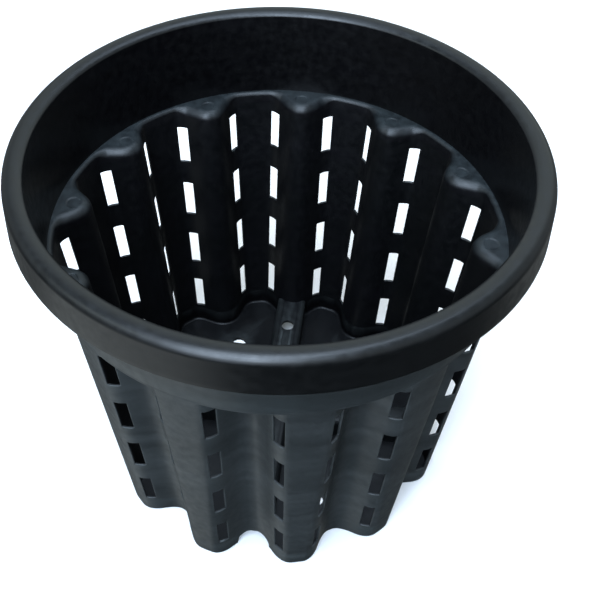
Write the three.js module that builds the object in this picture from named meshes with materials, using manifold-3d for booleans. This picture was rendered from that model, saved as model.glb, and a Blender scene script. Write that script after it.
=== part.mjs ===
import * as THREE from 'three';
import { mergeVertices } from 'three/addons/utils/BufferGeometryUtils.js';
import Module from 'manifold-3d';

// Root pruning pot, in millimetres with +Z up. It stands on the plane z = 0 and its axis is Z.
// The pot is one thin-walled plastic moulding. Each region of it is a closed solid of its own,
// and neighbouring regions meet face to face.
// Twelve lobes stand out and twelve folds run in between them. A fold lies on each of +X and +Y.

// The moulding as a whole
const overallHeight = 255;
const wallThickness = 1.5;
const fluteCount = 12;

// Rim: a roll, round on its outer side and flatter on its inner side, over a skirt that hangs down
const rimRadius = 150;
const rollRadius = 4.7;
const rollInnerWidth = 6.8;
const rollInnerDrop = 3;
const skirtDepth = 22.8;
const skirtDraft = 1.1;
const rimSides = 72;
const rollQuarterSteps = 3;

// Collar: the smooth tapered band inside the rim, down to the ledge
const collarDepth = 57;
const collarTaper = 3.6;

// Shoulder: the ledge with its twelve tongues, rolled over into the fluted wall
const shoulderDepth = 8;
const tongueRollRadius = 5.5;
const roundingLimitShare = 0.8;
const roundingSteps = 2;

// Ejector marks: shallow round dimples on the tongues
const dimpleDiameter = 9;
const dimpleDepth = 0.4;
const dimpleInset = 10;
const dimpleSides = 12;

// Fluted wall: how far its lobes stand inside the collar, how much they taper down to the ground,
// and how deep the folds run in, at the ledge and on the ground
const lobeInsideCollar = 1.2;
const lobeTaper = 16.4;
const foldLedgeDepth = 16.9;
const foldGroundDepth = 17;

// Shares of a flute's width, counted from the middle of its lobe
const crestLedgeShare = 0.16;
const crestGroundShare = 0.06;
const foldEdgeShare = 0.48;
const halfFluteShare = 0.5;

// Windows: upright slots in both flanks of each fold, narrower towards the ground
const windowRows = 4;
const windowLedgeWidth = 7.7;
const windowGroundWidth = 6.6;
const windowHeight = 27.6;
const windowFromFold = 17.1;
const windowTopMargin = 6.7;
const windowFootMargin = 2.8;

// Steps between the points of a half flute, from the middle of its lobe to a window's near edge
const crestSteps = 2;

// Points between the windows' edges, as shares of the stretch that they divide
const crestPointShare = 0.5;
const flankPointShares = [0.38, 0.7];

// Base: the lowest band of the wall, and the floor, which is thicker than the wall
const baseHeight = 15;
const floorThickness = 2.4;
const groundEdgeRadius = 2.5;
const floorFilletRadius = 2;

// Drain channels: hollow ridges that cross the floor along X and Y, open below. A low arched mouth
// leads out of each of their four ends. Above the base the ridges stop short of the wall.
const channelWidth = 22;
const channelTop = 19;
const channelEndCount = 4;
const mouthHeight = 13.4;
const mouthWidth = 20.8;
const mouthRound = 8;
const ridgeToWall = 0.3;
const channelRound = 4;
const channelRoundSteps = 3;

// Drain holes: one towards each fold
const drainInsideFold = 24.4;
const floorDrainDiameter = 10.5;
const channelDrainDiameter = 9.5;
const drainSides = 12;

// Twin ribs on top of each channel, just inside its drain hole
const ribWidth = 1.8;
const ribRise = 1.5;
const ribLength = 34;
const ribSpacing = 7;
const ribToDrain = 2;

// How far a cutting shape runs past the faces that it cuts
const cutOverrun = 3;

const wasm = await Module();
wasm.setup();

const { clamp, lerp } = THREE.MathUtils;
const fluteAngle = 2 * Math.PI / fluteCount;
const ledgeHeight = overallHeight - collarDepth;
const wallTop = ledgeHeight - shoulderDepth;
const collarHeadRadius = rimRadius - skirtDraft - rollRadius - rollInnerWidth;
const collarHeadHeight = overallHeight - rollInnerDrop;
const collarFootRadius = collarHeadRadius - collarTaper;
const collarOuterRadius = collarFootRadius + wallThickness;
const lobeLedgeRadius = collarFootRadius - lobeInsideCollar;
const lobeGroundRadius = lobeLedgeRadius - lobeTaper;
const foldLedgeRadius = lobeLedgeRadius - foldLedgeDepth;
const foldGroundRadius = lobeGroundRadius - foldGroundDepth;
const drainCircleRadius = foldGroundRadius - drainInsideFold;

// Radii, share and width that describe the wall's level section at a height
function wallSection(height) {
  const upShare = height / ledgeHeight;
  return {
    lobe: lerp(lobeGroundRadius, lobeLedgeRadius, upShare),
    fold: lerp(foldGroundRadius, foldLedgeRadius, upShare),
    crestShare: lerp(crestGroundShare, crestLedgeShare, upShare),
    windowWidth: lerp(windowGroundWidth, windowLedgeWidth, upShare),
  };
}

// Length round the pot of one flute, midway between its lobe and its fold
function fluteWidth(section) {
  return fluteAngle * (section.lobe + section.fold) / 2;
}

// How far a share lies along the flank, from 0 at the end of the crest to 1 at the fold's edge
function flankPlace(section, share) {
  return clamp((share - section.crestShare) / (foldEdgeShare - section.crestShare), 0, 1);
}

// Fall of the flank as a share of its depth: two halves of parabolas that meet midway
function flankFall(place) {
  const toNearerEnd = Math.min(place, 1 - place);
  const nearFall = 2 * toNearerEnd * toNearerEnd;
  return place < 0.5 ? nearFall : 1 - nearFall;
}

// Fall of the outer radius per whole flute share: the slope of the parabolas is 4 t
function flankSlope(section, share) {
  const place = flankPlace(section, share);
  const steepness = 4 * Math.min(place, 1 - place);
  return (section.lobe - section.fold) * steepness / (foldEdgeShare - section.crestShare);
}

// Shares at which the section has points, from the middle of the lobe to the middle of the fold.
// A window lies between the point that ends the crest's steps and the one after it.
function halfFluteShares(section) {
  const middleShare = halfFluteShare - windowFromFold / fluteWidth(section);
  const flankLength = Math.hypot(fluteWidth(section), flankSlope(section, middleShare));
  const halfWindowShare = section.windowWidth / 2 / flankLength;
  const nearShare = middleShare - halfWindowShare;
  const farShare = middleShare + halfWindowShare;
  const flankShares = flankPointShares.map((share) => lerp(farShare, halfFluteShare, share));
  return [0, nearShare * crestPointShare, nearShare, farShare, ...flankShares, halfFluteShare];
}

// Signed shares of one flute's columns, from the fold before its lobe to the fold after it
function fluteShares(section) {
  const halfShares = halfFluteShares(section);
  const beforeLobe = halfShares.slice(1).reverse().map((share) => -share);
  return [...beforeLobe, ...halfShares];
}

// Point of the section, moved inwards from the outer face along its normal by the inset
function sectionPoint(section, height, flute, share, inset) {
  const angle = (flute + halfFluteShare + share) * fluteAngle;
  const fall = flankFall(flankPlace(section, Math.abs(share)));
  const radius = lerp(section.lobe, section.fold, fall);
  const turnSlope = -Math.sign(share) * flankSlope(section, Math.abs(share)) / fluteAngle;
  const outward = new THREE.Vector2(radius, -turnSlope).normalize().multiplyScalar(-inset);
  const point = new THREE.Vector2(radius, 0).add(outward).rotateAround(new THREE.Vector2(), angle);
  return new THREE.Vector3(point.x, point.y, height);
}

// Closed outline of the wall at a height, one point for each column, each with its own inset
function shiftedOutline(height, insetAt) {
  const section = wallSection(height);
  const shares = fluteShares(section).slice(0, -1);
  const flutes = Array.from({ length: fluteCount }, (unused, flute) => flute);
  return flutes.flatMap((flute) => shares.map((share, index) => {
    const inset = insetAt(flute * shares.length + index);
    return sectionPoint(section, height, flute, share, inset);
  }));
}

function outline(height, inset) {
  return shiftedOutline(height, () => inset);
}

// Circle with a point in the direction of each point of an outline
function circleAlong(ring, radius, height) {
  return ring.map((point) => {
    const reach = Math.hypot(point.x, point.y);
    return new THREE.Vector3(point.x * radius / reach, point.y * radius / reach, height);
  });
}

// Angles of the points on a quarter round, from zero to a right angle
function quarterTurns() {
  return Array.from({ length: roundingSteps + 1 }, (unused, step) => step / roundingSteps * Math.PI / 2);
}

// Collects corners and faces of a closed body
class FaceList {
  constructor() {
    this.positions = [];
    this.indices = [];
  }

  addRing(ring) {
    const first = this.positions.length / 3;
    ring.forEach((point) => this.positions.push(point.x, point.y, point.z));
    return ring.map((point, column) => first + column);
  }

  addQuad(a, b, c, d) {
    this.indices.push(a, b, c, a, c, d);
  }

  // Faces between two rings, pointing out where the second ring lies above the first
  addBand(low, high) {
    low.forEach((corner, column) => {
      const next = (column + 1) % low.length;
      this.addQuad(corner, low[next], high[next], high[column]);
    });
  }

  // Faces between two rows that don't close on themselves
  addStrip(low, high) {
    low.slice(1).forEach((corner, column) => {
      this.addQuad(low[column], corner, high[column + 1], high[column]);
    });
  }

  // Flat cap from a ring to a point on the axis
  addCap(ring, height, facesUp) {
    const [centre] = this.addRing([new THREE.Vector3(0, 0, height)]);
    ring.forEach((corner, column) => {
      const next = ring[(column + 1) % ring.length];
      this.indices.push(...(facesUp ? [corner, next, centre] : [next, corner, centre]));
    });
  }

  toGeometry() {
    const geometry = new THREE.BufferGeometry();
    geometry.setAttribute('position', new THREE.Float32BufferAttribute(this.positions, 3));
    geometry.setIndex(this.indices);
    return geometry;
  }
}

// Body whose rings close on themselves: up the outside, in over the top and down the inside
function hoopGeometry(rings) {
  const faces = new FaceList();
  const corners = rings.map((ring) => faces.addRing(ring));
  corners.forEach((ring, index) => faces.addBand(ring, corners[(index + 1) % corners.length]));
  return faces.toGeometry();
}

// Body of stacked rings with a flat cap below and above
function stackGeometry(rings) {
  const faces = new FaceList();
  const corners = rings.map((ring) => faces.addRing(ring));
  corners.slice(1).forEach((ring, index) => faces.addBand(corners[index], ring));
  faces.addCap(corners[0], rings[0][0].z, false);
  faces.addCap(corners.at(-1), rings.at(-1)[0].z, true);
  return faces.toGeometry();
}

// Copy of a geometry with shared corners, as boolean work needs
function welded(geometry) {
  const bare = geometry.clone();
  bare.deleteAttribute('normal');
  bare.deleteAttribute('uv');
  return mergeVertices(bare);
}

function toSolid(geometry) {
  const bare = welded(geometry);
  const vertProperties = new Float32Array(bare.attributes.position.array);
  const triVerts = new Uint32Array(bare.index.array);
  return new wasm.Manifold(new wasm.Mesh({ numProp: 3, vertProperties, triVerts }));
}

function toGeometry(solid) {
  const mesh = solid.getMesh();
  const geometry = new THREE.BufferGeometry();
  geometry.setAttribute('position', new THREE.BufferAttribute(mesh.vertProperties, 3));
  geometry.setIndex(new THREE.BufferAttribute(mesh.triVerts, 1));
  return geometry;
}

// Upright cylinder between two heights
function uprightCylinder(radius, lowHeight, highHeight, sides) {
  const geometry = new THREE.CylinderGeometry(radius, radius, highHeight - lowHeight, sides);
  geometry.rotateX(Math.PI / 2);
  geometry.translate(0, 0, (lowHeight + highHeight) / 2);
  return geometry;
}

// Full turn of a closed profile of [radius, height] points, run up its outer side first
function turned(profile) {
  const points = [...profile, profile[0]].map(([radius, height]) => new THREE.Vector2(radius, height));
  const geometry = new THREE.LatheGeometry(points, rimSides);
  geometry.rotateX(Math.PI / 2);
  return welded(geometry);
}

// Points on a quarter of an ellipse about the roll's middle, from one angle to the other
function rollQuarter(width, rise, topHeight, fromAngle, toAngle) {
  const middleRadius = rimRadius - skirtDraft - rollRadius;
  return Array.from({ length: rollQuarterSteps + 1 }, (unused, step) => {
    const angle = lerp(fromAngle, toAngle, step / rollQuarterSteps);
    return [middleRadius + width * Math.cos(angle), topHeight - rise + rise * Math.sin(angle)];
  });
}

// Rim: outer face of the skirt, over the roll, then the roll's hollow side and the skirt's inner face
function rimGeometry() {
  const skirtFoot = overallHeight - skirtDepth;
  const hollowTop = overallHeight - wallThickness;
  const hollowRadius = rollRadius - wallThickness;
  const hollowInnerWidth = rollInnerWidth - wallThickness;
  const hollowInnerDrop = rollInnerDrop - wallThickness;
  return turned([
    [rimRadius, skirtFoot],
    ...rollQuarter(rollRadius, rollRadius, overallHeight, 0, Math.PI / 2),
    ...rollQuarter(rollInnerWidth, rollInnerDrop, overallHeight, Math.PI / 2, Math.PI).slice(1),
    ...rollQuarter(hollowInnerWidth, hollowInnerDrop, hollowTop, Math.PI, Math.PI / 2),
    ...rollQuarter(hollowRadius, hollowRadius, hollowTop, Math.PI / 2, 0).slice(1),
    [rimRadius - wallThickness, skirtFoot],
  ]);
}

// Collar: a tapered band from the ledge up to the inner side of the roll
function collarGeometry() {
  return turned([
    [collarOuterRadius, ledgeHeight],
    [collarHeadRadius + wallThickness, collarHeadHeight],
    [collarHeadRadius, collarHeadHeight],
    [collarFootRadius, ledgeHeight],
  ]);
}

// Radius of a rounding in each column, held to what the ledge's width leaves there
function limitedRadii(ring, edgeRadius, fullRadius) {
  return ring.map((point) => {
    const ledgeWidth = edgeRadius - Math.hypot(point.x, point.y);
    return Math.min(fullRadius, ledgeWidth * roundingLimitShare);
  });
}

// Quarter round from level with the ledge's face down to the wall's face, the face being the
// given inset inside the wall's outer face
function quarterRound(faceHeight, inset, radii) {
  return quarterTurns().map((turn) => {
    const deepest = Math.max(...radii) * (1 - Math.cos(turn));
    const insetAt = (column) => inset - radii[column] * (1 - Math.sin(turn));
    const ring = shiftedOutline(faceHeight - deepest, insetAt);
    ring.forEach((point, column) => {
      point.z = faceHeight - radii[column] * (1 - Math.cos(turn));
    });
    return ring;
  });
}

// Shoulder: a level ledge from the collar to the wall, rolled over inside and coved beneath
function shoulderGeometry() {
  const underside = ledgeHeight - wallThickness;
  const outerFoot = outline(wallTop, 0);
  const innerFoot = outline(wallTop, wallThickness);
  const coveRadius = tongueRollRadius - wallThickness;
  const coveRadii = limitedRadii(outline(ledgeHeight, 0), collarOuterRadius, coveRadius);
  const rollRadii = limitedRadii(outline(ledgeHeight, wallThickness), collarFootRadius, tongueRollRadius);
  const cove = quarterRound(underside, 0, coveRadii).reverse();
  const roll = quarterRound(ledgeHeight, wallThickness, rollRadii);
  return hoopGeometry([
    outerFoot,
    ...cove,
    circleAlong(outerFoot, collarOuterRadius, underside),
    circleAlong(outerFoot, collarOuterRadius, ledgeHeight),
    circleAlong(outerFoot, collarFootRadius, ledgeHeight),
    ...roll,
    innerFoot,
  ]);
}

// Places a copy of a geometry in the direction of each fold that the test picks
function alongFolds(geometry, radius, picks) {
  const folds = Array.from({ length: fluteCount }, (unused, fold) => fold).filter(picks);
  return folds.map((fold) => geometry.clone().translate(radius, 0, 0).rotateZ(fold * fluteAngle));
}

function markedShoulderGeometry() {
  const dimple = uprightCylinder(
    dimpleDiameter / 2, ledgeHeight - dimpleDepth, ledgeHeight + cutOverrun, dimpleSides);
  const cutters = alongFolds(dimple, collarFootRadius - dimpleInset, () => true);
  const plain = toSolid(shoulderGeometry());
  return toGeometry(cutters.reduce((rest, cutter) => rest.subtract(toSolid(cutter)), plain));
}

// Heights of the wall's seams and of the windows' lower and upper edges, from the bottom up
function wallLevels() {
  const lowest = baseHeight + windowFootMargin;
  const highest = wallTop - windowTopMargin - windowHeight;
  const rowAt = (unused, row) => lerp(lowest, highest, row / (windowRows - 1));
  const rows = Array.from({ length: windowRows }, rowAt);
  return [baseHeight, ...rows.flatMap((foot) => [foot, foot + windowHeight]), wallTop];
}

// Row of one flute's columns at a height
function fluteRow(flute, height, inset) {
  const section = wallSection(height);
  return fluteShares(section).map((share) => sectionPoint(section, height, flute, share, inset));
}

// One flute of the wall, from fold to fold: outer and inner faces, left open where a window is
function flutePanelGeometry(flute) {
  const faces = new FaceList();
  const levels = wallLevels();
  const outer = levels.map((height) => faces.addRing(fluteRow(flute, height, 0)));
  const inner = levels.map((height) => faces.addRing(fluteRow(flute, height, wallThickness)));
  const lastColumn = outer[0].length - 1;
  const windowColumns = [lastColumn / 2 - crestSteps - 1, lastColumn / 2 + crestSteps];
  // Face through the wall along one column, seen from the columns after it or from those before
  const addReveal = (band, column, seenFromAfter) => {
    const low = [outer[band][column], inner[band][column]];
    const high = [inner[band + 1][column], outer[band + 1][column]];
    faces.addQuad(...(seenFromAfter ? [...low, ...high] : [...low, ...high].reverse()));
  };
  for (let band = 0; band < levels.length - 1; band += 1) {
    addReveal(band, 0, false);
    addReveal(band, lastColumn, true);
    for (let column = 0; column < lastColumn; column += 1) {
      const outLow = outer[band].slice(column, column + 2);
      const outHigh = outer[band + 1].slice(column, column + 2);
      const inLow = inner[band].slice(column, column + 2);
      const inHigh = inner[band + 1].slice(column, column + 2);
      if (band % 2 === 1 && windowColumns.includes(column)) {
        faces.addStrip(outLow, inLow);
        faces.addStrip(inHigh, outHigh);
        addReveal(band, column, true);
        addReveal(band, column + 1, false);
      } else {
        faces.addStrip(outLow, outHigh);
        faces.addStrip(inHigh, inLow);
      }
    }
  }
  faces.addStrip(inner[0], outer[0]);
  faces.addStrip(outer.at(-1), inner.at(-1));
  return faces.toGeometry();
}

// Rings of a rounded lower corner: from the flat, inset by the radius, up to the upright face
function roundedFoot(flatHeight, radius, inset) {
  return quarterTurns().map((turn) => {
    const height = flatHeight + radius * (1 - Math.cos(turn));
    return outline(height, inset + radius * (1 - Math.sin(turn)));
  });
}

// Ridge along Y with a flat top and round shoulders, cut off level at its foot
function ridgeGeometry(width, footHeight, topHeight, round, reach) {
  const half = width / 2;
  const shape = new THREE.Shape();
  shape.moveTo(-half, footHeight);
  shape.lineTo(half, footHeight);
  shape.absarc(half - round, topHeight - round, round, 0, Math.PI / 2, false);
  shape.absarc(round - half, topHeight - round, round, Math.PI / 2, Math.PI, false);
  const geometry = new THREE.ExtrudeGeometry(shape, {
    depth: 2 * reach,
    bevelEnabled: false,
    curveSegments: channelRoundSteps,
  });
  geometry.rotateX(Math.PI / 2);
  geometry.translate(0, reach, 0);
  return geometry;
}

// The same ridge along X and along Y, joined
function crossedRidges(...sizes) {
  const alongY = ridgeGeometry(...sizes);
  const alongX = alongY.clone().rotateZ(Math.PI / 2);
  return toSolid(alongY).add(toSolid(alongX));
}

// Twin ribs that lie along +X on a channel's top, from just inside its drain hole
function ribGeometries(top) {
  const outerEnd = drainCircleRadius - channelDrainDiameter / 2 - ribToDrain;
  return [-ribSpacing / 2, ribSpacing / 2].map((offset) => {
    const rib = new THREE.BoxGeometry(ribLength, ribWidth, ribRise + floorThickness / 2);
    rib.translate(outerEnd - ribLength / 2, offset, top + (ribRise - floorThickness / 2) / 2);
    return rib;
  });
}

// Fluted tub, hollow above its floor, as high as the base
function tubSolid() {
  const body = toSolid(stackGeometry([
    ...roundedFoot(0, groundEdgeRadius, 0),
    outline(baseHeight, 0),
  ]));
  const cavity = toSolid(stackGeometry([
    ...roundedFoot(floorThickness, floorFilletRadius, wallThickness),
    outline(baseHeight, wallThickness),
    outline(baseHeight + cutOverrun, wallThickness),
  ]));
  return body.subtract(cavity);
}

// Column with the wall's outline, the given inset inside its outer face
function flutedColumn(lowHeight, highHeight, inset) {
  return toSolid(stackGeometry([outline(lowHeight, inset), outline(highHeight, inset)]));
}

// Ridges, merged with the tub's wall up to the base's top and clear of the wall above it
function ridgeSolid(reach) {
  const ridgeFoot = floorThickness / 2;
  const ridges = crossedRidges(channelWidth, ridgeFoot, channelTop, channelRound, reach);
  const merged = flutedColumn(ridgeFoot, baseHeight, wallThickness / 2);
  const clear = flutedColumn(ridgeFoot, channelTop + cutOverrun, wallThickness + ridgeToWall);
  return ridges.intersect(merged.add(clear));
}

// Hollows under the ridges, which end a floor's thickness inside them, and the mouths at their
// ends, which start a little way inside the hollows
function tunnelSolid(reach) {
  const hollowWidth = channelWidth - 2 * floorThickness;
  const hollowRound = channelRound - floorThickness;
  const hollowTop = channelTop - floorThickness;
  const endInset = wallThickness + ridgeToWall + floorThickness;
  const hollows = crossedRidges(hollowWidth, -cutOverrun, hollowTop, hollowRound, reach);
  const mouths = crossedRidges(mouthWidth, -cutOverrun, mouthHeight, mouthRound, reach);
  const within = flutedColumn(-cutOverrun, hollowTop + cutOverrun, endInset);
  const inside = flutedColumn(-2 * cutOverrun, hollowTop + cutOverrun, endInset + ridgeToWall);
  return hollows.intersect(within).add(mouths.subtract(inside));
}

// Base: the tub with its crossed drain channels, ribs and drain holes
function baseGeometry() {
  const isChannel = (fold) => fold % (fluteCount / channelEndCount) === 0;
  const reach = lobeGroundRadius + cutOverrun;
  const drainTop = channelTop + cutOverrun;
  const drain = (diameter) => uprightCylinder(diameter / 2, -cutOverrun, drainTop, drainSides);
  const drains = [
    ...alongFolds(drain(channelDrainDiameter), drainCircleRadius, isChannel),
    ...alongFolds(drain(floorDrainDiameter), drainCircleRadius, (fold) => !isChannel(fold)),
  ];
  const ribs = ribGeometries(channelTop).flatMap((rib) => alongFolds(rib, 0, isChannel));
  const ridged = tubSolid().add(ridgeSolid(reach)).subtract(tunnelSolid(reach));
  const drained = drains.reduce((rest, hole) => rest.subtract(toSolid(hole)), ridged);
  return toGeometry(ribs.reduce((rest, rib) => rest.add(toSolid(rib)), drained));
}

// Satin charcoal polypropylene, a little lighter where the photograph shows it lit
function plastic(colour, roughness) {
  return new THREE.MeshStandardMaterial({ color: colour, roughness, metalness: 0 });
}

function named(name, geometry, material) {
  const mesh = new THREE.Mesh(geometry, material);
  mesh.name = name;
  return mesh;
}

// The wall's panels, one for each flute, numbered from the fold on +X towards +Y
function wallPanels() {
  const material = () => plastic('#2d3132', 0.5);
  return Array.from({ length: fluteCount }, (unused, flute) => (
    named(`wall_flute_${String(flute + 1).padStart(2, '0')}`, flutePanelGeometry(flute), material())
  ));
}

const pot = new THREE.Group();
pot.add(
  named('rim', rimGeometry(), plastic('#353a3d', 0.38)),
  named('collar', collarGeometry(), plastic('#2b2f31', 0.45)),
  named('shoulder_ledge', markedShoulderGeometry(), plastic('#33383b', 0.42)),
  ...wallPanels(),
  named('base_floor', baseGeometry(), plastic('#2a2d2f', 0.5)),
);

export default pot;
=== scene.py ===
"""Looks of the root pruning pot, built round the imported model. Lengths are written in millimetres."""

import bpy
import numpy as np
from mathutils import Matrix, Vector


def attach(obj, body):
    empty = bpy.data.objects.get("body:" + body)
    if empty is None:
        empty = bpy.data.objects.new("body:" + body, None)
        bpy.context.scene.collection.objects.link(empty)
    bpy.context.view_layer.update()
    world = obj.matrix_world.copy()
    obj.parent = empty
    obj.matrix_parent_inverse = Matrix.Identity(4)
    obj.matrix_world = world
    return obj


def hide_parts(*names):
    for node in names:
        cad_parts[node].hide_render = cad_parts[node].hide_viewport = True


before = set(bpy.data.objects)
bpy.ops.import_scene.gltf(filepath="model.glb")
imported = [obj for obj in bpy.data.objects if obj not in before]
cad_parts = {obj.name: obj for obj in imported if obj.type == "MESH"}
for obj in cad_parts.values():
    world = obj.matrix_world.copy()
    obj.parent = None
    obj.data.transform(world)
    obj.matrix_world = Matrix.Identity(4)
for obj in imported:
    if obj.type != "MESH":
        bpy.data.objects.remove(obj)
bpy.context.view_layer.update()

# One millimetre in Blender's metres
MM = 0.001

# The moulding as a whole
OVERALL_HEIGHT = 255.0
WALL_THICKNESS = 1.5
FLUTE_COUNT = 12

# Rim and collar
RIM_RADIUS = 150.0
ROLL_RADIUS = 4.7
ROLL_INNER_WIDTH = 6.8
ROLL_INNER_DROP = 3.0
SKIRT_DEPTH = 22.8
SKIRT_DRAFT = 1.1
SKIRT_LIP_ROUND = 0.6
COLLAR_DEPTH = 57.0
COLLAR_FOOT_RADIUS = 133.8

# Shoulder: ledge, tongues and the ejector marks on them
SHOULDER_DEPTH = 8.0
TONGUE_ROLL_RADIUS = 5.5
ROUNDING_LIMIT_SHARE = 0.8
DIMPLE_DIAMETER = 9.0
DIMPLE_DEPTH = 0.4
DIMPLE_INSET = 10.0
DIMPLE_EDGE = 0.5

# Fluted wall: outer radii, and shares of a flute's width from the middle of its lobe
LOBE_LEDGE_RADIUS = 132.6
LOBE_GROUND_RADIUS = 116.2
FOLD_LEDGE_RADIUS = 115.7
FOLD_GROUND_RADIUS = 99.2
CREST_LEDGE_SHARE = 0.16
CREST_GROUND_SHARE = 0.06
FOLD_EDGE_SHARE = 0.48
HALF_FLUTE_SHARE = 0.5

# Windows in the flanks of each fold
WINDOW_ROWS = 4
WINDOW_LEDGE_WIDTH = 7.7
WINDOW_GROUND_WIDTH = 6.6
WINDOW_HEIGHT = 27.6
WINDOW_FROM_FOLD = 17.1
WINDOW_TOP_MARGIN = 6.7
WINDOW_FOOT_MARGIN = 2.8
WINDOW_EDGE_ROUND = 0.35

# Base, drain channels, ribs and drain holes
BASE_HEIGHT = 15.0
FLOOR_THICKNESS = 2.4
GROUND_EDGE_RADIUS = 2.5
FLOOR_FILLET_RADIUS = 2.0
CHANNEL_WIDTH = 22.0
CHANNEL_TOP = 19.0
CHANNEL_ROUND = 4.0
MOUTH_HEIGHT = 13.4
MOUTH_WIDTH = 20.8
MOUTH_ROUND = 8.0
RIDGE_TO_WALL = 0.3
DRAIN_CIRCLE_RADIUS = 74.8
FLOOR_DRAIN_DIAMETER = 10.5
CHANNEL_DRAIN_DIAMETER = 9.5
RIB_WIDTH = 1.8
RIB_RISE = 1.5
RIB_LENGTH = 34.0
RIB_SPACING = 7.0
RIB_TO_DRAIN = 2.0
CUT_OVERRUN = 3.0
FOLDS_PER_CHANNEL_END = 3

# Fineness of the grids and the shading
TURN_COLUMNS = 360
ARC_STEPS = 10
BAND_ROWS = 6
LEDGE_ROWS = 36
EDGE_STEPS = 2
HALF_FLUTE_STEPS = (7, 5, 8)
SHOULDER_FLUTE_STEPS = (20, 10, 20)
DRAIN_SIDES = 48
SHARP_ANGLE_DEG = 40.0
BEVEL_SEGMENTS = 2

FLUTE_ANGLE = 2 * np.pi / FLUTE_COUNT
COLLAR_HEAD_HEIGHT = OVERALL_HEIGHT - ROLL_INNER_DROP
LEDGE_HEIGHT = OVERALL_HEIGHT - COLLAR_DEPTH
WALL_TOP = LEDGE_HEIGHT - SHOULDER_DEPTH
COLLAR_OUTER_RADIUS = COLLAR_FOOT_RADIUS + WALL_THICKNESS
RIGHT_ANGLE = np.pi / 2

# Camera, in the photograph's viewing direction
CAMERA_PLACE = (48.1, -389.5, 564.2)
CAMERA_TURNS_DEG = (43.864, -0.103, 8.201)
LENS_MM = 54.67
SENSOR_MM = 36.0
CAMERA_SHIFT = (0.058, -0.0465)


def mix(low, high, share):
    """Value between low and high at a share of the way."""
    return low + (high - low) * share


def wall_section(height):
    """Lobe radius, fold radius and crest share of the wall, each changing evenly with height."""
    up = height / LEDGE_HEIGHT
    lobe = mix(LOBE_GROUND_RADIUS, LOBE_LEDGE_RADIUS, up)
    fold = mix(FOLD_GROUND_RADIUS, FOLD_LEDGE_RADIUS, up)
    crest = mix(CREST_GROUND_SHARE, CREST_LEDGE_SHARE, up)
    return lobe, fold, crest


def ramp_place(share, crest):
    """How far a share lies along the ramp from the lobe's crest to the fold, from 0 to 1."""
    return np.clip((np.abs(share) - crest) / (FOLD_EDGE_SHARE - crest), 0, 1)


def ramp_fall(place):
    """Fall along the ramp as a share of its depth: 2 t^2 up to halfway, then 1 - 2 (1 - t)^2."""
    nearer = np.minimum(place, 1 - place)
    return np.where(place < 0.5, 2 * nearer ** 2, 1 - 2 * nearer ** 2)


def flank_slope(height, share):
    """Fall of the radius per whole flute share: the slope of the two parabolas is 4 t."""
    lobe, fold, crest = wall_section(height)
    place = ramp_place(share, crest)
    return (lobe - fold) * 4 * np.minimum(place, 1 - place) / (FOLD_EDGE_SHARE - crest)


def flute_shares(height, steps):
    """Signed shares of one flute's columns in each row. A window's edges are columns of their own.

    Half a window in shares is half its width over the flank's length for one whole share.
    """
    lobe, fold = wall_section(height)[:2]
    width = FLUTE_ANGLE * (lobe + fold) / 2
    middle = HALF_FLUTE_SHARE - WINDOW_FROM_FOLD / width
    window_width = mix(WINDOW_GROUND_WIDTH, WINDOW_LEDGE_WIDTH, height / LEDGE_HEIGHT)
    half = window_width / 2 / np.hypot(width, flank_slope(height, middle))
    near, far = middle - half, middle + half
    crest_part = near * np.linspace(0, 1, steps[0], endpoint=False)
    window_part = mix(near, far, np.linspace(0, 1, steps[1], endpoint=False))
    flank_part = mix(far, HALF_FLUTE_SHARE, np.linspace(0, 1, steps[2] + 1))
    halves = np.concatenate([crest_part, window_part, flank_part], axis=1)
    return np.concatenate([-halves[:, :0:-1], halves[:, :-1]], axis=1)


def outline(heights, inset, steps=HALF_FLUTE_STEPS):
    """Rows of the fluted wall: radius is mix(lobe, fold, ramp_fall(t)), moved inwards along its normal."""
    height = np.atleast_1d(np.asarray(heights, float))[:, None]
    shares = flute_shares(height, steps)
    flutes = np.arange(FLUTE_COUNT)[None, :, None]
    angle = ((flutes + HALF_FLUTE_SHARE + shares[:, None, :]) * FLUTE_ANGLE).reshape(len(height), -1)
    share = np.tile(shares, (1, FLUTE_COUNT))
    lobe, fold, crest = wall_section(height)
    radius = mix(lobe, fold, ramp_fall(ramp_place(share, crest)))
    turn_slope = np.sign(share) * flank_slope(height, share) / FLUTE_ANGLE
    length = np.hypot(radius, turn_slope)
    moved = np.broadcast_to(np.asarray(inset, float), radius.shape)
    along = radius - moved * radius / length
    across = -moved * turn_slope / length
    x = along * np.cos(angle) - across * np.sin(angle)
    y = along * np.sin(angle) + across * np.cos(angle)
    return np.stack([x, y, np.broadcast_to(height, x.shape)], axis=-1)


def circle_along(ring, radius, height):
    """Circle with a point in the direction of each point of a ring: x and y times radius over reach."""
    x, y = ring[:, 0], ring[:, 1]
    reach = np.hypot(x, y)
    return np.stack([x * radius / reach, y * radius / reach, np.full(len(ring), height)], axis=-1)


def arc_turns():
    """Angles from zero to a right angle."""
    return np.linspace(0, RIGHT_ANGLE, ARC_STEPS + 1)


def wrapped_faces(rows, columns, closed):
    """Quads of a grid whose columns go round and whose rows may also close on themselves."""
    count = rows if closed else rows - 1
    low = np.arange(count)[:, None] * columns
    high = (np.arange(count)[:, None] + 1) % rows * columns
    here = np.arange(columns)[None, :]
    after = (here + 1) % columns
    return np.stack([low + here, low + after, high + after, high + here], axis=-1).reshape(-1, 4)


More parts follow.
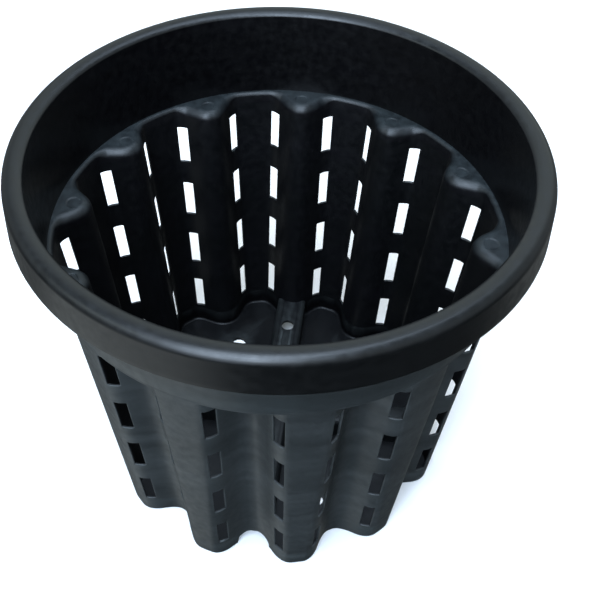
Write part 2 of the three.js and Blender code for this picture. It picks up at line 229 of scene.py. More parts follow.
def new_mesh(name, points, faces):
    """Mesh from points in millimetres and faces, with the points that no face uses left out."""
    used, renumbered = np.unique(np.concatenate([np.ravel(face) for face in faces]), return_inverse=True)
    sizes = [len(face) for face in faces]
    starts = np.concatenate([[0], np.cumsum(sizes)[:-1]])
    mesh = bpy.data.meshes.new(name)
    mesh.vertices.add(len(used))
    mesh.vertices.foreach_set("co", (np.asarray(points)[used] * MM).astype(np.float32).ravel())
    mesh.loops.add(int(sum(sizes)))
    mesh.loops.foreach_set("vertex_index", renumbered.astype(np.int32).ravel())
    mesh.polygons.add(len(faces))
    mesh.polygons.foreach_set("loop_start", starts.astype(np.int32))
    mesh.update(calc_edges=True)
    mesh.validate()
    return mesh


def new_piece(name, points, faces):
    """Object with a mesh of its own, at the origin."""
    piece = bpy.data.objects.new(name, new_mesh(name, points, faces))
    bpy.context.scene.collection.objects.link(piece)
    return piece


def smooth(piece):
    """Shades the faces smoothly, and leaves edges sharper than the angle as edges."""
    piece.data.polygons.foreach_set("use_smooth", np.ones(len(piece.data.polygons), bool))
    piece.data.set_sharp_from_angle(angle=np.radians(SHARP_ANGLE_DEG))


def hoop(name, rings):
    """Closed body of rings that run up the outside, over and down the inside."""
    faces = wrapped_faces(len(rings), len(rings[0]), True)
    return new_piece(name, np.concatenate(rings), list(faces))


def turned(name, profile):
    """Full turn of a closed profile: x and y are radius times cosine and sine of the angle."""
    angle = np.arange(TURN_COLUMNS) * 2 * np.pi / TURN_COLUMNS
    x, y = np.cos(angle), np.sin(angle)
    return hoop(name, [np.stack([r * x, r * y, np.full(TURN_COLUMNS, z)], -1) for r, z in profile])


def straight(start, end, steps):
    """Points evenly spread between two profile points, the last one left out."""
    return [tuple(mix(np.array(start), np.array(end), s)) for s in np.linspace(0, 1, steps, endpoint=False)]


def roll_quarter(width, rise, top, start, end):
    """Quarter of an ellipse about the roll's middle: width times cosine out, rise times sine up."""
    middle = RIM_RADIUS - SKIRT_DRAFT - ROLL_RADIUS
    turns = np.linspace(start, end, 2 * ARC_STEPS)
    return [(middle + width * np.cos(a), top - rise + rise * np.sin(a)) for a in turns]


def rim_piece():
    """Rim: skirt, roll with its hollow side facing down, flatter inside, and a rounded lower lip."""
    foot = OVERALL_HEIGHT - SKIRT_DEPTH
    hollow_top = OVERALL_HEIGHT - WALL_THICKNESS
    hollow = ROLL_RADIUS - WALL_THICKNESS
    outer_roll = roll_quarter(ROLL_RADIUS, ROLL_RADIUS, OVERALL_HEIGHT, 0, RIGHT_ANGLE)
    outer_roll += roll_quarter(ROLL_INNER_WIDTH, ROLL_INNER_DROP, OVERALL_HEIGHT, RIGHT_ANGLE, np.pi)[1:]
    inner_roll = roll_quarter(
        ROLL_INNER_WIDTH - WALL_THICKNESS, ROLL_INNER_DROP - WALL_THICKNESS, hollow_top, np.pi, RIGHT_ANGLE)
    inner_roll += roll_quarter(hollow, hollow, hollow_top, RIGHT_ANGLE, 0)[1:]
    lip = [(RIM_RADIUS - SKIRT_LIP_ROUND * (1 - np.sin(a)), foot + SKIRT_LIP_ROUND * (1 - np.cos(a)))
           for a in arc_turns()]
    inner_foot = (RIM_RADIUS - WALL_THICKNESS, foot)
    profile = lip[:-1]
    profile += straight(lip[-1], outer_roll[0], BAND_ROWS)
    profile += outer_roll[:-1]
    profile += straight(outer_roll[-1], inner_roll[0], EDGE_STEPS)
    profile += inner_roll[:-1]
    profile += straight(inner_roll[-1], inner_foot, BAND_ROWS)
    profile.append(inner_foot)
    return turned("rolled_rim", profile)


def collar_piece():
    """Collar: a tapered band, one wall thick, from the ledge up to the roll."""
    head_radius = RIM_RADIUS - SKIRT_DRAFT - ROLL_RADIUS - ROLL_INNER_WIDTH
    outer_foot = (COLLAR_OUTER_RADIUS, LEDGE_HEIGHT)
    outer_head = (head_radius + WALL_THICKNESS, COLLAR_HEAD_HEIGHT)
    inner_head = (head_radius, COLLAR_HEAD_HEIGHT)
    inner_foot = (COLLAR_FOOT_RADIUS, LEDGE_HEIGHT)
    profile = straight(outer_foot, outer_head, 2 * BAND_ROWS)
    profile += straight(outer_head, inner_head, EDGE_STEPS)
    profile += straight(inner_head, inner_foot, 2 * BAND_ROWS)
    profile += straight(inner_foot, outer_foot, EDGE_STEPS)
    return turned("smooth_collar", profile)


def limited_radii(ring, edge_radius, full_radius):
    """Rounding of each column, held to a share of the ledge's width there."""
    width = edge_radius - np.hypot(ring[:, 0], ring[:, 1])
    return np.minimum(full_radius, width * ROUNDING_LIMIT_SHARE)


def quarter_round(face_height, inset, radii):
    """Rings of a quarter round from the ledge's level face down to the wall's upright face.

    Each ring drops by radius times (1 - cosine) and lies outwards by radius times (1 - sine).
    """
    rings = []
    for turn in arc_turns():
        drop = radii * (1 - np.cos(turn))
        moved_in = inset - radii * (1 - np.sin(turn))
        ring = outline(face_height - drop.max(), moved_in, SHOULDER_FLUTE_STEPS)[0]
        ring[:, 2] = face_height - drop
        rings.append(ring)
    return rings


def dimple_drop(ring):
    """Depth of the ejector marks: a flat round floor with a short smooth slope at its edge."""
    angle = np.arctan2(ring[:, 1], ring[:, 0])
    nearest = np.round(angle / FLUTE_ANGLE) * FLUTE_ANGLE
    radius = COLLAR_FOOT_RADIUS - DIMPLE_INSET
    away = np.hypot(ring[:, 0] - radius * np.cos(nearest), ring[:, 1] - radius * np.sin(nearest))
    t = np.clip((DIMPLE_DIAMETER / 2 - away) / DIMPLE_EDGE + 0.5, 0, 1)
    return DIMPLE_DEPTH * t * t * (3 - 2 * t)


def shoulder_piece():
    """Shoulder: a ledge from collar to wall, rolled over inside, coved beneath, marked on each tongue."""
    underside = LEDGE_HEIGHT - WALL_THICKNESS
    steps = SHOULDER_FLUTE_STEPS
    outer_foot = outline(WALL_TOP, 0, steps)[0]
    inner_foot = outline(WALL_TOP, WALL_THICKNESS, steps)[0]
    cove_radii = limited_radii(
        outline(LEDGE_HEIGHT, 0, steps)[0], COLLAR_OUTER_RADIUS, TONGUE_ROLL_RADIUS - WALL_THICKNESS)
    roll_radii = limited_radii(
        outline(LEDGE_HEIGHT, WALL_THICKNESS, steps)[0], COLLAR_FOOT_RADIUS, TONGUE_ROLL_RADIUS)
    cove = quarter_round(underside, 0, cove_radii)[::-1]
    roll = quarter_round(LEDGE_HEIGHT, WALL_THICKNESS, roll_radii)
    ledge_edge = circle_along(outer_foot, COLLAR_FOOT_RADIUS, LEDGE_HEIGHT)
    ledge_rows = [mix(ledge_edge, roll[0], s) for s in np.linspace(0, 1, LEDGE_ROWS, endpoint=False)]
    for row in ledge_rows:
        row[:, 2] -= dimple_drop(row)
    return hoop("tongued_ledge", [
        outer_foot, *cove,
        circle_along(outer_foot, COLLAR_OUTER_RADIUS, underside),
        circle_along(outer_foot, COLLAR_OUTER_RADIUS, LEDGE_HEIGHT),
        *ledge_rows, *roll, inner_foot,
    ])


def wall_rows():
    """Heights of the wall's rows, and for each band between rows whether windows lie in it."""
    lowest = BASE_HEIGHT + WINDOW_FOOT_MARGIN
    highest = WALL_TOP - WINDOW_TOP_MARGIN - WINDOW_HEIGHT
    feet = np.linspace(lowest, highest, WINDOW_ROWS)
    levels = np.concatenate([[BASE_HEIGHT], np.stack([feet, feet + WINDOW_HEIGHT], 1).ravel(), [WALL_TOP]])
    parts = [np.linspace(a, b, BAND_ROWS, endpoint=False) for a, b in zip(levels[:-1], levels[1:])]
    windowed = np.repeat(np.arange(len(levels) - 1) % 2 == 1, BAND_ROWS)
    return np.concatenate([*parts, [WALL_TOP]]), windowed


def window_mask(windowed, columns):
    """Whether each face of the wall's grid lies in a window, by its band of rows and its column."""
    half = sum(HALF_FLUTE_STEPS)
    first, last = HALF_FLUTE_STEPS[0], HALF_FLUTE_STEPS[0] + HALF_FLUTE_STEPS[1]
    place = np.arange(columns) % (2 * half)
    after_crest = (place >= half + first) & (place < half + last)
    before_crest = (place >= half - last) & (place < half - first)
    return windowed[:, None] & (after_crest | before_crest)[None, :]


def wall_faces(hole, skip):
    """Outer and inner faces, reveals round each window, and the two ends. Inner points start at skip."""
    bands, columns = hole.shape
    row, column = np.indices(hole.shape)
    after = (column + 1) % columns
    a, b = row * columns + column, row * columns + after
    c, d = (row + 1) * columns + after, (row + 1) * columns + column
    no_row = np.zeros((1, columns), bool)
    left = hole & ~np.roll(hole, 1, axis=1)
    right = hole & ~np.roll(hole, -1, axis=1)
    below = hole & ~np.vstack([no_row, hole[:-1]])
    above = hole & ~np.vstack([hole[1:], no_row])
    here = np.arange(columns)
    there = (here + 1) % columns
    top = bands * columns
    return np.concatenate([
        np.stack([a, b, c, d], -1)[~hole],
        np.stack([b, a, d, c], -1)[~hole] + skip,
        np.stack([a, a + skip, d + skip, d], -1)[left],
        np.stack([b + skip, b, c, c + skip], -1)[right],
        np.stack([a, b, b + skip, a + skip], -1)[below],
        np.stack([d + skip, c + skip, c, d], -1)[above],
        np.stack([here + skip, there + skip, there, here], -1),
        np.stack([top + here, top + there, top + there + skip, top + here + skip], -1),
    ])


def wall_piece():
    """Fluted wall: outer and inner grids, open where a window is, with reveals joining the two."""
    heights, windowed = wall_rows()
    outer = outline(heights, 0)
    inner = outline(heights, WALL_THICKNESS)
    rows, columns = outer.shape[:2]
    faces = wall_faces(window_mask(windowed, columns), rows * columns)
    points = np.concatenate([outer.reshape(-1, 3), inner.reshape(-1, 3)])
    piece = new_piece("slotted_wall", points, list(faces))
    smooth(piece)
    round_marked_edges(piece, WINDOW_EDGE_ROUND, BASE_HEIGHT, WALL_TOP)
    return piece


def round_marked_edges(piece, width, low, high):
    """Bevels the sharp edges that lie clear of the seams at two heights."""
    mesh = piece.data
    ends = np.zeros(len(mesh.edges) * 2, np.int32)
    mesh.edges.foreach_get("vertices", ends)
    places = np.zeros(len(mesh.vertices) * 3, np.float32)
    mesh.vertices.foreach_get("co", places)
    z = places.reshape(-1, 3)[:, 2][ends.reshape(-1, 2)] / MM
    clear = ((z > low + width) & (z < high - width)).all(1)
    sharp = np.zeros(len(mesh.edges), bool)
    mesh.attributes["sharp_edge"].data.foreach_get("value", sharp)
    weight = mesh.attributes.new("bevel_weight_edge", "FLOAT", "EDGE")
    weight.data.foreach_set("value", (sharp & clear).astype(np.float32))
    bevel = piece.modifiers.new("rounded_edges", "BEVEL")
    bevel.limit_method = "WEIGHT"
    bevel.width = width * MM
    bevel.segments = BEVEL_SEGMENTS


def stack(name, rings):
    """Closed body of stacked rings with a flat cap at each end."""
    columns = len(rings[0])
    faces = list(wrapped_faces(len(rings), columns, False))
    last = (len(rings) - 1) * columns
    faces += [np.arange(columns)[::-1], last + np.arange(columns)]
    return new_piece(name, np.concatenate(rings), faces)


def rounded_foot(flat_height, radius, inset):
    """Rings of a rounded lower corner, from the flat up to the upright face.

    Each ring rises by radius times (1 - cosine) and lies inwards by radius times (1 - sine).
    """
    return [
        outline(flat_height + radius * (1 - np.cos(a)), inset + radius * (1 - np.sin(a)))[0]
        for a in arc_turns()]


def fluted_column(name, low, high, inset):
    """Column with the wall's outline between two heights."""
    return stack(name, [outline(low, inset)[0], outline(high, inset)[0]])


def bar(name, width, foot, top, rounding, reach, along_x):
    """Prism with round shoulders: the profile is carried straight along Y, or along X."""
    half = width / 2
    shoulder = [
        (half - rounding * (1 - np.sin(a)), top - rounding * (1 - np.cos(a)))
        for a in arc_turns()[::-1]]
    profile = np.array([(-half, foot), (half, foot), *shoulder, *[(-u, z) for u, z in shoulder[::-1]]])
    ends = []
    for place in (reach, -reach):
        level = np.full(len(profile), place)
        across = np.stack([profile[:, 0], level, profile[:, 1]], -1)
        ends.append(across[:, [1, 0, 2]] * (-1, 1, 1) if along_x else across)
    return stack(name, ends)


def post(name, radius, place, low, high):
    """Upright cylinder round a place on the floor."""
    angle = np.arange(DRAIN_SIDES) * 2 * np.pi / DRAIN_SIDES
    x, y = place[0] + radius * np.cos(angle), place[1] + radius * np.sin(angle)
    return stack(name, [np.stack([x, y, np.full(DRAIN_SIDES, z)], -1) for z in (low, high)])


def rib(name, fold, offset):
    """One rib on a channel's top: a low box turned towards its fold."""
    outer = DRAIN_CIRCLE_RADIUS - CHANNEL_DRAIN_DIAMETER / 2 - RIB_TO_DRAIN
    along = np.array([outer - RIB_LENGTH, outer, outer, outer - RIB_LENGTH])
    across = offset + np.array([-1, -1, 1, 1]) * RIB_WIDTH / 2
    turn = fold * FLUTE_ANGLE
    x = along * np.cos(turn) - across * np.sin(turn)
    y = along * np.sin(turn) + across * np.cos(turn)
    low, high = CHANNEL_TOP - FLOOR_THICKNESS / 2, CHANNEL_TOP + RIB_RISE
    return stack(name, [np.stack([x, y, np.full(len(x), z)], -1) for z in (low, high)])


def combine(piece, other, operation):
    """Joins, cuts or crops a piece with another, which is then gone."""
    step = piece.modifiers.new("step", "BOOLEAN")
    step.operation = operation
    step.solver = "EXACT"
    step.object = other
    graph = bpy.context.evaluated_depsgraph_get()
    result = bpy.data.meshes.new_from_object(piece.evaluated_get(graph))
    piece.modifiers.clear()
    piece.data = result
    bpy.data.objects.remove(other)


def crossed(name, width, foot, top, rounding, reach):
    """Bar along X and the same bar along Y, joined."""
    first = bar(name, width, foot, top, rounding, reach, False)
    combine(first, bar(name + "_cross", width, foot, top, rounding, reach, True), "UNION")
    return first


def fluted_tub():
    """Lowest band of the wall with its floor, rounded at the ground outside and at the floor inside."""
    tub = stack("drained_base", [*rounded_foot(0, GROUND_EDGE_RADIUS, 0), outline(BASE_HEIGHT, 0)[0]])
    cavity = stack("cavity", [
        *rounded_foot(FLOOR_THICKNESS, FLOOR_FILLET_RADIUS, WALL_THICKNESS),
        outline(BASE_HEIGHT, WALL_THICKNESS)[0],
        outline(BASE_HEIGHT + CUT_OVERRUN, WALL_THICKNESS)[0],
    ])
    combine(tub, cavity, "DIFFERENCE")
    return tub


def add_channels(tub):
    """Two crossed ridges, the hollow under them, and a mouth through the wall at each end of the hollow."""
    reach = LOBE_GROUND_RADIUS + CUT_OVERRUN
    hollow_top = CHANNEL_TOP - FLOOR_THICKNESS
    end_inset = WALL_THICKNESS + RIDGE_TO_WALL + FLOOR_THICKNESS
    above, below = CHANNEL_TOP + CUT_OVERRUN, -2 * CUT_OVERRUN
    ridges = crossed("ridges", CHANNEL_WIDTH, FLOOR_THICKNESS / 2, CHANNEL_TOP, CHANNEL_ROUND, reach)
    combine(ridges, fluted_column("bound", 0, above, WALL_THICKNESS / 2), "INTERSECT")
    combine(tub, ridges, "UNION")
    hollows = crossed(
        "hollows", CHANNEL_WIDTH - 2 * FLOOR_THICKNESS, -CUT_OVERRUN, hollow_top,
        CHANNEL_ROUND - FLOOR_THICKNESS, reach)
    combine(hollows, fluted_column("within", below, hollow_top + CUT_OVERRUN, end_inset), "INTERSECT")
    combine(tub, hollows, "DIFFERENCE")
    mouths = crossed("mouths", MOUTH_WIDTH, -CUT_OVERRUN, MOUTH_HEIGHT, MOUTH_ROUND, reach)
    inside = fluted_column("inside", below, hollow_top + CUT_OVERRUN, end_inset + RIDGE_TO_WALL)
    combine(mouths, inside, "DIFFERENCE")
    combine(tub, mouths, "DIFFERENCE")


def add_drains(tub):
    """A drain hole at each fold, and two ribs on each channel end inwards of its hole."""
    for fold in range(FLUTE_COUNT):
        on_channel = fold % FOLDS_PER_CHANNEL_END == 0
        diameter = CHANNEL_DRAIN_DIAMETER if on_channel else FLOOR_DRAIN_DIAMETER
        turn = fold * FLUTE_ANGLE
        place = (DRAIN_CIRCLE_RADIUS * np.cos(turn), DRAIN_CIRCLE_RADIUS * np.sin(turn))
        drain = post("drain", diameter / 2, place, -CUT_OVERRUN, CHANNEL_TOP + CUT_OVERRUN)
        combine(tub, drain, "DIFFERENCE")
        if on_channel:
            for offset in (-RIB_SPACING / 2, RIB_SPACING / 2):
                combine(tub, rib("rib", fold, offset), "UNION")


def base_piece():
    """Base: a fluted tub with hollow crossed ridges, their mouths, drain holes and ribs."""
    tub = fluted_tub()
    add_channels(tub)
    add_drains(tub)
    smooth(tub)
    return tub


def linear(hex_colour):
    """Linear colour from an sRGB hex value."""
    srgb = np.array([int(hex_colour[i:i + 2], 16) for i in (1, 3, 5)]) / 255
    flat = np.where(srgb <= 0.04045, srgb / 12.92, ((srgb + 0.055) / 1.055) ** 2.4)
    return (*flat, 1.0)


def add_node(tree, kind, settings=None, links=None):
    """Adds a node, sets its properties or input sockets, and links its inputs to other nodes' outputs."""
    made = tree.nodes.new(kind)
    for key, value in (settings or {}).items():
        if isinstance(key, str) and hasattr(made, key):
            setattr(made, key, value)
        else:
            made.inputs[key].default_value = value
    for key, source in (links or {}).items():
        tree.links.new(source, made.inputs[key])
    return made


def per_metre(size_mm):
    """Noise scale whose pattern repeats about once in the given length."""
    return 1 / (size_mm * MM)


# Injection-moulded polypropylene: a satin skin with a fine tool grain, faint flow lines, shallow
# sink marks, a little dust and painted top light where it faces up, paler rubbed edges, and
# painted shade on the faces inside the pot
POLYPROPYLENE_IOR = 1.49
OUTSIDE_REACH_MM = 40.0
TINT_SPREAD = (0.12, 0.42)
# Pale blue-grey of the dust, which also paints the light on faces that look up
DUST_AND_TOP_LIGHT_COLOUR = "#62747a"
DUST_AND_TOP_LIGHT_FROM_SLOPE = 0.25
WORN_COLOUR = "#7b8587"
WORN_POINTINESS = (0.52, 0.62)
SEAM_MARGIN = 2.0
SCUFF_SPREAD = (0.3, 0.7)
POLISHED_BY = 0.06
DULLED_BY = 0.08
TOOL_GRAIN_DEPTH_MM = 0.02
SINK_DEPTH_MM = 0.25
SINK_STRENGTH = 0.06
FLOW_STRENGTH = 0.05
FLOW_LINE_MM = 7.0
FLOW_LINE_STRETCH = 9.0

# Noise patterns of the skin: the length in millimetres in which each repeats, and its detail. Real
# tool grain is finer than this one, which is drawn as coarse as it needs to show
SKIN_PATTERNS = {
    "cloud": (60.0, 4.0),
    "flow": (FLOW_LINE_MM * FLOW_LINE_STRETCH, 3.0),
    "grain": (1.1, 2.0),
    "sink": (45.0, 1.0),
    "scuff": (5.0, 6.0),
}


def skin_patterns(tree, place):
    """Noise patterns of the skin. Flow lines are squeezed in height, so they lie level round the pot."""
    squeezed = add_node(
        tree, "ShaderNodeMapping", {"Scale": (1.0, 1.0, FLOW_LINE_STRETCH)}, {"Vector": place})
    patterns = {}
    for name, (length, detail) in SKIN_PATTERNS.items():
        source = squeezed.outputs["Vector"] if name == "flow" else place
        noise = add_node(
            tree, "ShaderNodeTexNoise", {"Scale": per_metre(length), "Detail": detail}, {"Vector": source})
        patterns[name] = noise.outputs["Fac"]
    return patterns


def tinted(tree, place, normal, patterns, inner, outer):
    """Cloudy tint between the two inner colours, or the outer two on faces that look away from the axis.

    The outer share is the distance from the axis, measured along the face's normal, over its reach. Where
    the inner colours are much darker than the outer ones, they are painted shade inside the pot.
    """
    blend = add_node(
        tree, "ShaderNodeMath", {"operation": "MULTIPLY"}, {0: patterns["cloud"], 1: patterns["flow"]})
    low, high = TINT_SPREAD
    share = add_node(
        tree, "ShaderNodeMapRange", {"From Min": low, "From Max": high}, {"Value": blend.outputs[0]})
    shaded_inner_skin, outer_skin = [
        add_node(
            tree, "ShaderNodeMix", {"data_type": "RGBA", 6: linear(dark), 7: linear(pale)},
            {0: share.outputs["Result"]}).outputs[2]
        for dark, pale in (inner, outer)]
    level_place = add_node(
        tree, "ShaderNodeVectorMath", {"operation": "MULTIPLY", 1: (1.0, 1.0, 0.0)}, {0: place})
    from_axis = add_node(
        tree, "ShaderNodeVectorMath", {"operation": "DOT_PRODUCT"},
        {0: level_place.outputs["Vector"], 1: normal})
    outer_share = add_node(
        tree, "ShaderNodeMapRange", {"From Max": OUTSIDE_REACH_MM * MM},
        {"Value": from_axis.outputs["Value"]})
    return add_node(
        tree, "ShaderNodeMix", {"data_type": "RGBA"},
        {0: outer_share.outputs["Result"], 6: shaded_inner_skin, 7: outer_skin}).outputs[2]


def dusted_and_top_lit(tree, normal, scuff, colour, dust_and_top_light_share):
    """Colour with uneven dust and painted top light, both thickening from slopes to level faces."""
    facing = add_node(tree, "ShaderNodeSeparateXYZ", {}, {"Vector": normal})
    upward = add_node(
        tree, "ShaderNodeMapRange", {"From Min": DUST_AND_TOP_LIGHT_FROM_SLOPE, "To Max": dust_and_top_light_share},
        {"Value": facing.outputs["Z"]})
    # Dust and painted top light: paler where the face looks up, patchy with the scuff pattern
    dust = add_node(
        tree, "ShaderNodeMath", {"operation": "MULTIPLY"}, {0: upward.outputs["Result"], 1: scuff})
    return add_node(
        tree, "ShaderNodeMix", {"data_type": "RGBA", 7: linear(DUST_AND_TOP_LIGHT_COLOUR)},
        {0: dust.outputs[0], 6: colour}).outputs[2]


def rubbed(tree, place, pointiness, scuff, colour, wear_share, worn_heights):
    """Colour with pale wear on convex edges, between two heights that leave out the seams of a piece."""
    low, high = WORN_POINTINESS
    convex = add_node(
        tree, "ShaderNodeMapRange", {"From Min": low, "From Max": high, "To Max": wear_share},
        {"Value": pointiness})
    patchy = add_node(
        tree, "ShaderNodeMath", {"operation": "MULTIPLY"}, {0: convex.outputs["Result"], 1: scuff})
    height = add_node(tree, "ShaderNodeSeparateXYZ", {}, {"Vector": place}).outputs["Z"]
    foot, head = worn_heights
    off_seams = add_node(
        tree, "ShaderNodeMath",
        {"operation": "COMPARE", 1: (foot + head) / 2 * MM, 2: (head - foot) / 2 * MM}, {0: height})
    wear = add_node(
        tree, "ShaderNodeMath", {"operation": "MULTIPLY"}, {0: patchy.outputs[0], 1: off_seams.outputs[0]})
    return add_node(
        tree, "ShaderNodeMix", {"data_type": "RGBA", 7: linear(WORN_COLOUR)},
        {0: wear.outputs[0], 6: colour}).outputs[2]


def bumped(tree, patterns, grain_share):
    """Normal with the sinks, the flow lines and the tool grain, each bump laid on the one before."""
    bumps = [
        ("sink", SINK_STRENGTH, SINK_DEPTH_MM),
        ("flow", FLOW_STRENGTH, SINK_DEPTH_MM),
        ("grain", grain_share, TOOL_GRAIN_DEPTH_MM),
    ]
    under = {}
    for name, strength, depth in bumps:
        bump = add_node(
            tree, "ShaderNodeBump", {"Strength": strength, "Distance": depth * MM},
            {"Height": patterns[name], **under})
        under = {"Normal": bump.outputs["Normal"]}
    return under["Normal"]


def moulded_polypropylene(name, inner, outer, roughness, gloss_level, dust_and_top_light_share, grain_share, wear_share,
                          worn_heights=(0.0, OVERALL_HEIGHT)):
    """Satin polypropylene with a cloudy tint, painted shade inside, dust and painted top light, rubbed
    edges, uneven gloss and moulded bumps.
    """
    material = bpy.data.materials.new(name)
    material.use_nodes = True
    tree = material.node_tree
    shader = tree.nodes["Principled BSDF"]
    place = add_node(tree, "ShaderNodeTexCoord").outputs["Object"]
    geometry = add_node(tree, "ShaderNodeNewGeometry").outputs
    patterns = skin_patterns(tree, place)
    normal, pointiness, scuff = geometry["Normal"], geometry["Pointiness"], patterns["scuff"]
    colour = tinted(tree, place, normal, patterns, inner, outer)
    colour = dusted_and_top_lit(tree, normal, scuff, colour, dust_and_top_light_share)
    colour = rubbed(tree, place, pointiness, scuff, colour, wear_share, worn_heights)
    low, high = SCUFF_SPREAD
    polished, scuffed = roughness - POLISHED_BY, roughness + DULLED_BY
    dulled = add_node(
        tree, "ShaderNodeMapRange",
        {"From Min": low, "From Max": high, "To Min": polished, "To Max": scuffed}, {"Value": scuff})
    tree.links.new(colour, shader.inputs["Base Color"])
    tree.links.new(dulled.outputs["Result"], shader.inputs["Roughness"])
    tree.links.new(bumped(tree, patterns, grain_share), shader.inputs["Normal"])
    shader.inputs["IOR"].default_value = POLYPROPYLENE_IOR
    shader.inputs["Specular IOR Level"].default_value = gloss_level
    shader.inputs["Metallic"].default_value = 0.0
    return material


def dress(piece, material, slot, *nodes):
    """Gives a piece its material and its body, and hides the solids that it stands for."""
    piece.data.materials.clear()
    piece.data.materials.append(material)
    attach(piece, "root")
    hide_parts(*nodes)


# The rim is handled and wiped, so it is the glossiest; the wall outside is the most scuffed
# Each material's first pair of colours is for faces turned towards the axis. Near-black beside the paler
# outside pair, it is painted shade inside the pot; the rim's two pairs are alike
SCUFFED_OUTSIDE = ("#1c2021", "#292d2e")
rim_polypropylene = moulded_polypropylene(
    "polished polypropylene rim", ("#040506", "#07080a"), ("#030405", "#060708"),
    roughness=0.35, gloss_level=0.5, dust_and_top_light_share=0.02, grain_share=0.15, wear_share=0.03,
    worn_heights=(0.0, COLLAR_HEAD_HEIGHT - SEAM_MARGIN))
collar_polypropylene = moulded_polypropylene(
    "moulded polypropylene collar", ("#020203", "#040406"), ("#1b1f20", "#262b2c"),
    roughness=0.36, gloss_level=0.4, dust_and_top_light_share=0.02, grain_share=0.5, wear_share=0.0)
# The ledge's level top is the palest: dust and painted top light
ledge_polypropylene = moulded_polypropylene(
    "moulded polypropylene ledge", ("#040406", "#07070a"), SCUFFED_OUTSIDE,
    roughness=0.44, gloss_level=0.42, dust_and_top_light_share=0.13, grain_share=0.5, wear_share=0.0)
wall_polypropylene = moulded_polypropylene(
    "scuffed polypropylene wall", ("#030405", "#060609"), SCUFFED_OUTSIDE,
    roughness=0.44, gloss_level=0.4, dust_and_top_light_share=0.03, grain_share=0.8, wear_share=0.3,
    worn_heights=(BASE_HEIGHT + SEAM_MARGIN, WALL_TOP - SEAM_MARGIN))
base_polypropylene = moulded_polypropylene(
    "scuffed polypropylene base", ("#020203", "#040406"), SCUFFED_OUTSIDE,
    roughness=0.42, gloss_level=0.22, dust_and_top_light_share=0.01, grain_share=0.8, wear_share=0.22)

rim = rim_piece()
collar = collar_piece()
shoulder = shoulder_piece()
for round_piece in (rim, collar, shoulder):
    smooth(round_piece)
wall = wall_piece()
base = base_piece()
dress(rim, rim_polypropylene, "rim_plastic", "rim")
dress(collar, collar_polypropylene, "collar_plastic", "collar")
dress(shoulder, ledge_polypropylene, "ledge_plastic", "shoulder_ledge")
dress(wall, wall_polypropylene, "wall_plastic", *[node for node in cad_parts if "flute" in node])
dress(base, base_polypropylene, "base_plastic", "base_floor")

# Floor: matt white card, an even pale ground with no highlight. The plastic doesn't mirror it
FLOOR_HALF_MM = 6000.0
FLOOR_ROUGHNESS = 0.9
corners = np.array([(-1, -1, 0), (1, -1, 0), (1, 1, 0), (-1, 1, 0)]) * FLOOR_HALF_MM
floor = new_piece("floor", corners, [np.arange(4)])
floor_card = bpy.data.materials.new("matt white card")
floor_card.use_nodes = True
floor_shader = floor_card.node_tree.nodes["Principled BSDF"]
floor_shader.inputs["Base Color"].default_value = linear("#f2f2f2")
floor_shader.inputs["Roughness"].default_value = FLOOR_ROUGHNESS
floor.data.materials.append(floor_card)
floor.visible_glossy = False

# Lights: all look at one place in the pot, and a key in four steps makes one tall bright strip
LIT_MIDDLE = (0.0, 0.0, 120.0)
KEY_AWAY_MM = 1700.0
FILL_AWAY_MM = 2000.0
KEY_COLOUR = "#d4e8ff"
LOW_KEY_COLOUR = "#d8eaff"
FILL_COLOUR = "#e6f6f4"
WASH_COLOUR = "#ffffff"


def softbox(name, azimuth_deg, elevation_deg, away_mm, size_mm, power, colour, mirrored=True):
    """Area light that looks at the pot's middle. Its azimuth turns from the front to the right.

    One that isn't mirrored lights the scene but can't be seen in the plastic's gloss.
    """
    azimuth, elevation = np.radians((azimuth_deg, elevation_deg))
    level = np.cos(elevation)
    way = Vector((level * np.sin(azimuth), -level * np.cos(azimuth), np.sin(elevation)))
    light = bpy.data.lights.new(name, "AREA")
    light.shape = "RECTANGLE"
    light.size, light.size_y = np.array(size_mm) * MM
    light.energy = power
    light.color = linear(colour)[:3]
    holder = bpy.data.objects.new(name, light)
    holder.location = (Vector(LIT_MIDDLE) + way * away_mm) * MM
    holder.rotation_euler = (-way).to_track_quat("-Z", "Y").to_euler()
    holder.visible_glossy = mirrored
    bpy.context.scene.collection.objects.link(holder)


softbox("rear key softbox", -14.0, 103.0, KEY_AWAY_MM, (650.0, 1050.0), 10.0, KEY_COLOUR)
softbox("high key softbox", -12.0, 72.0, KEY_AWAY_MM, (700.0, 1050.0), 26.0, KEY_COLOUR)
softbox("key softbox", -9.0, 42.0, KEY_AWAY_MM, (900.0, 1050.0), 33.0, KEY_COLOUR)
softbox("low key softbox", -11.0, 14.0, KEY_AWAY_MM, (850.0, 1050.0), 8.0, LOW_KEY_COLOUR)
softbox("left fill", -62.0, 40.0, FILL_AWAY_MM, (900.0, 900.0), 4.0, FILL_COLOUR)
softbox("back fill", 172.0, 32.0, FILL_AWAY_MM, (2400.0, 1200.0), 5.5, FILL_COLOUR)
softbox("floor wash", 0.0, 88.0, FILL_AWAY_MM, (2200.0, 2200.0), 32.0, WASH_COLOUR, mirrored=False)

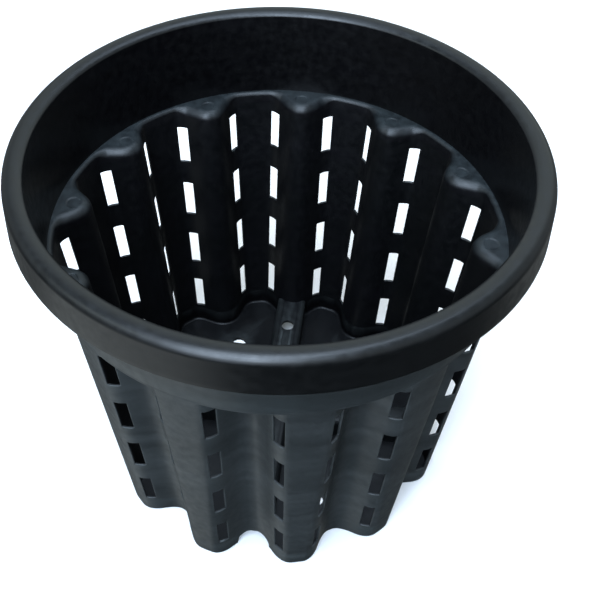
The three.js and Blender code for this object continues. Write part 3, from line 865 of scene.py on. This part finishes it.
# Surround: pale studio walls, a darker ceiling, and below the table's level a dark front, a greyer
# back and the glow of a pale card at the front left
SURROUND_COLOUR = "#eef8fa"
WALLS_GLOW = 0.45
CEILING_GLOW = 0.15
FRONT_GLOW = 0.04
BACK_GLOW = 0.24
CARD_GLOW = 0.82
CARD_WAY = (-0.6, -0.345, -0.72)
CARD_NEARNESS = (0.84, 0.93)
BACK_SPREAD = (0.1, 0.4)
CEILING_SPREAD = (0.65, 0.9)
TABLE_SPREAD = (-0.15, 0.15)


def studio_surround():
    """World whose strength depends on direction: each part fades into the next over its spread."""
    world = bpy.data.worlds.new("studio surround")
    world.use_nodes = True
    tree = world.node_tree
    toward = add_node(tree, "ShaderNodeTexCoord").outputs["Generated"]
    parts = add_node(tree, "ShaderNodeSeparateXYZ", {}, {"Vector": toward}).outputs
    nearness = add_node(
        tree, "ShaderNodeVectorMath", {"operation": "DOT_PRODUCT", 1: CARD_WAY}, {0: toward})
    card, table, upper = [
        add_node(
            tree, "ShaderNodeMapRange",
            {"From Min": spread[0], "From Max": spread[1], "To Min": start, "To Max": end},
            {"Value": value}).outputs["Result"]
        for value, spread, start, end in (
            (nearness.outputs["Value"], CARD_NEARNESS, 0.0, CARD_GLOW),
            (parts["Y"], BACK_SPREAD, FRONT_GLOW, BACK_GLOW),
            (parts["Z"], CEILING_SPREAD, WALLS_GLOW, CEILING_GLOW))]
    lower = add_node(tree, "ShaderNodeMath", {"operation": "ADD"}, {0: card, 1: table})
    glow = add_node(
        tree, "ShaderNodeMapRange", {"From Min": TABLE_SPREAD[0], "From Max": TABLE_SPREAD[1]},
        {"Value": parts["Z"], "To Min": lower.outputs[0], "To Max": upper})
    background = tree.nodes["Background"]
    background.inputs["Color"].default_value = linear(SURROUND_COLOUR)
    tree.links.new(glow.outputs["Result"], background.inputs["Strength"])
    return world


bpy.context.scene.world = studio_surround()

camera_data = bpy.data.cameras.new("camera")
camera_data.sensor_width = SENSOR_MM
camera_data.lens = LENS_MM
camera_data.shift_x, camera_data.shift_y = CAMERA_SHIFT
camera = bpy.data.objects.new("camera", camera_data)
camera.location = Vector(CAMERA_PLACE) * MM
camera.rotation_euler = np.radians(CAMERA_TURNS_DEG)
bpy.context.scene.collection.objects.link(camera)
bpy.context.scene.camera = camera
bpy.context.scene.view_settings.view_transform = "Standard"
